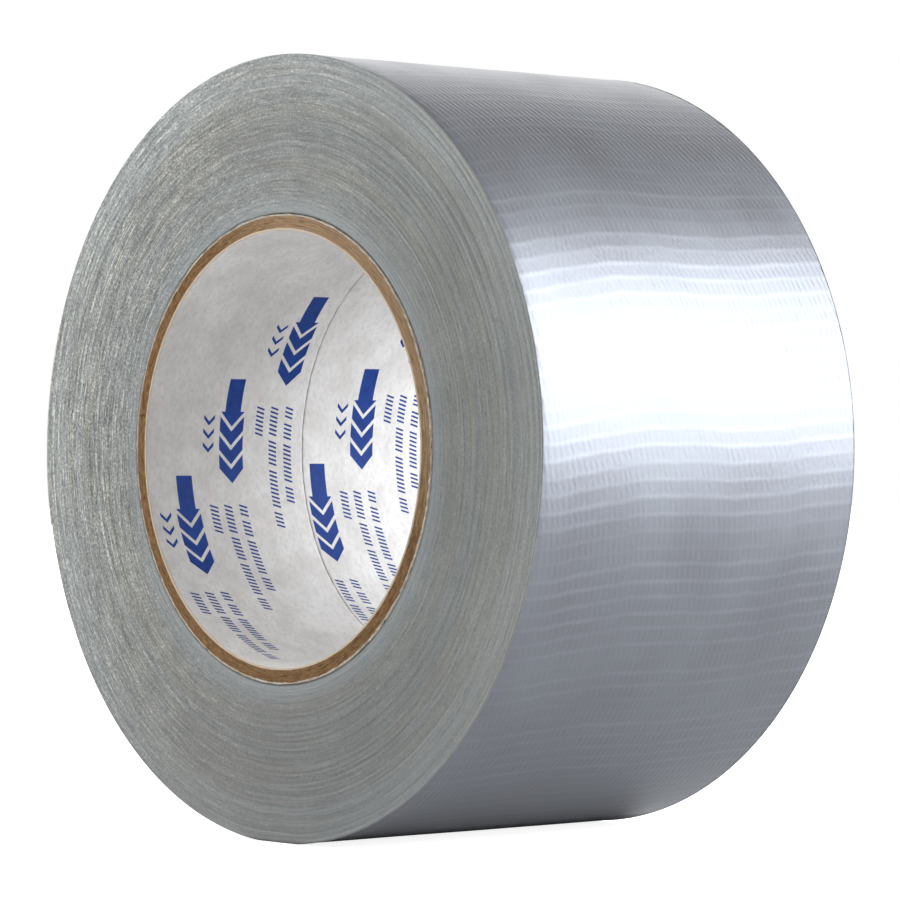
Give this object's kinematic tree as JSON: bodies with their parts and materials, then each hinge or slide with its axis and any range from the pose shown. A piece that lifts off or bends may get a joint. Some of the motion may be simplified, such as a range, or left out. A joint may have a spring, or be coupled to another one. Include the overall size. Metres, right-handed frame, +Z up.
{
  "type": "roll of cloth-backed adhesive tape",
  "caption": "Wide silver cloth-backed adhesive tape wound on a paper core with a printed lining, standing on its rim, with a loose end that peels up.",
  "frame": {"origin": "centre of the core's bore, at the middle of the tape's width", "axes": "+Y along the roll's axis from the front edge to the rear edge, +Z up, away from the flat of the rim that the roll stands on, +X to the right seen from the front"},
  "size_m": [0.1379, 0.073, 0.1372],
  "materials": {
    "lining_paper": "matte",
    "kraft_paper": "matte",
    "cover_paper": "matte",
    "tape_edges": "matte",
    "rubber_adhesive": "satin",
    "cloth": "matte",
    "silver_film": "gloss"
  },
  "bodies": {
    "roll": {"lining_front": "lining_paper", "lining_rear": "lining_paper", "kraft_ply_1": "kraft_paper", "kraft_ply_2": "kraft_paper", "kraft_ply_3": "kraft_paper", "kraft_ply_4": "kraft_paper", "cover_ply": "cover_paper", "wound_turns": "tape_edges", "outer_turn_adhesive": "rubber_adhesive", "outer_turn_cloth": "cloth", "outer_turn_film": "silver_film"},
    "lead_end": {"lead_adhesive": "rubber_adhesive", "lead_warp_yarns": "cloth", "lead_weft_yarns": "cloth", "lead_film": "silver_film"}
  },
  "joints": [
    {"name": "lead_peel", "type": "hinge", "parent": "roll", "child": "lead_end", "pos_m": [-0.06481, 0, 0.02359], "axis": [0, 1, 0], "range_deg": [0, 120]}
  ]
}
